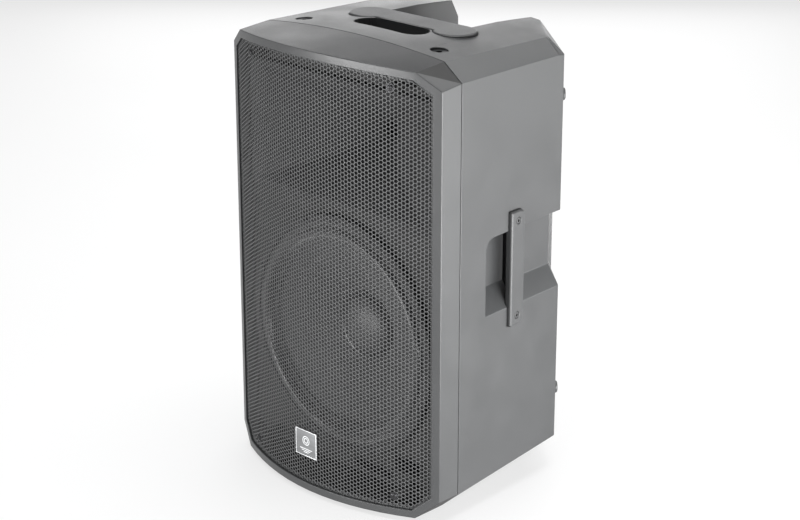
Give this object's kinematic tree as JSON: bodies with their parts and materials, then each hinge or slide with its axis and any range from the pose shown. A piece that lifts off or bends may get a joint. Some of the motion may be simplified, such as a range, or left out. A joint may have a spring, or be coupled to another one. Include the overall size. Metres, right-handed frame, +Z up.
{
  "type": "pa speaker cabinet",
  "caption": "Moulded two-way PA loudspeaker cabinet with bowed perforated grille, recessed carrying handles, pole socket, rubber feet and rear amplifier module.",
  "frame": {"origin": "on the floor under the middle of the cabinet's bounding box", "axes": "+Z up, the grille faces -Y, +X on the right when seen from the front"},
  "size_m": [0.427, 0.4212, 0.6983],
  "materials": {
    "shell_plastic": "fine moulded texture",
    "grille_paint": "powder coat",
    "rubber": "matt",
    "soft_grip": "soft touch",
    "zinc_steel": "zinc plated",
    "black_steel": "black paint",
    "badge_face": "satin",
    "cone_paper": "coated paper pulp",
    "surround_cloth": "coated cloth",
    "spider_cloth": "resin treated cloth",
    "ferrite": "sintered, ground",
    "coil_copper": "lacquered copper winding",
    "horn_plastic": "fine moulded texture",
    "black_aluminium": "black anodised",
    "black_plastic": "satin",
    "circuit_board": "solder mask"
  },
  "bodies": {
    "cabinet": {"amp_board": "circuit_board", "amp_panel": "black_aluminium", "badge": "badge_face", "combo_socket_1": "black_plastic", "combo_socket_2": "black_plastic", "compression_driver": "ferrite", "compression_driver_cap": "black_plastic", "foot_front_left": "rubber", "foot_front_right": "rubber", "foot_rear_left": "rubber", "foot_rear_right": "rubber", "front_shell": "shell_plastic", "grille": "grille_paint", "grille_screw_lower_left": "black_steel", "grille_screw_lower_right": "black_steel", "grille_screw_upper_left": "black_steel", "grille_screw_upper_right": "black_steel", "heatsink": "black_aluminium", "horn": "horn_plastic", "link_socket": "black_plastic", "mains_inlet": "black_plastic", "pole_socket": "black_steel", "port_duct": "horn_plastic", "power_switch_frame": "black_plastic", "rear_shell": "shell_plastic", "rigging_insert_left": "zinc_steel", "rigging_insert_right": "zinc_steel", "side_foot_left_inner_lower": "rubber", "side_foot_left_inner_upper": "rubber", "side_foot_left_outer_lower": "rubber", "side_foot_left_outer_upper": "rubber", "side_foot_right_inner_lower": "rubber", "side_foot_right_inner_upper": "rubber", "side_foot_right_outer_lower": "rubber", "side_foot_right_outer_upper": "rubber", "side_handle_left": "soft_grip", "side_handle_right": "soft_grip", "side_handle_screw_left_lower": "zinc_steel", "side_handle_screw_left_upper": "zinc_steel", "side_handle_screw_right_lower": "zinc_steel", "side_handle_screw_right_upper": "zinc_steel", "top_handle_grip": "soft_grip", "transformer": "zinc_steel", "woofer_back_plate": "zinc_steel", "woofer_frame": "black_steel", "woofer_magnet": "ferrite", "woofer_spider": "spider_cloth", "woofer_surround": "surround_cloth", "woofer_top_plate": "zinc_steel"},
    "cone_assembly": {"woofer_cone": "cone_paper", "woofer_dust_cap": "cone_paper", "woofer_voice_coil": "coil_copper"},
    "input_1_control": {"input_1_knob": "black_plastic"},
    "input_2_control": {"input_2_knob": "black_plastic"},
    "master_control": {"master_knob": "black_plastic"},
    "mic_line_key": {"mic_line_button": "black_plastic"},
    "power_switch": {"power_rocker": "black_plastic"}
  },
  "joints": [
    {"name": "cone_travel", "type": "slide", "parent": "cabinet", "child": "cone_assembly", "axis": [0, -1, 0], "range_m": [-0.007, 0.007], "stiffness_N_per_m": 5000, "deforming": ["woofer_surround", "woofer_spider"]},
    {"name": "input_1_turn", "type": "hinge", "parent": "cabinet", "child": "input_1_control", "pos_m": [-0.066, 0.20135, 0.46], "axis": [0, 1, 0], "range_deg": [-150, 150]},
    {"name": "input_2_turn", "type": "hinge", "parent": "cabinet", "child": "input_2_control", "pos_m": [-0.032, 0.20135, 0.46], "axis": [0, 1, 0], "range_deg": [-150, 150]},
    {"name": "master_turn", "type": "hinge", "parent": "cabinet", "child": "master_control", "pos_m": [0.002, 0.20135, 0.46], "axis": [0, 1, 0], "range_deg": [-150, 150]},
    {"name": "mic_line_press", "type": "slide", "parent": "cabinet", "child": "mic_line_key", "axis": [0, -1, 0], "range_m": [0, 0.0025], "stiffness_N_per_m": 500},
    {"name": "power_tilt", "type": "hinge", "parent": "cabinet", "child": "power_switch", "pos_m": [0.066, 0.19695, 0.354], "axis": [1, 0, 0], "range_deg": [-14, 0]}
  ]
}
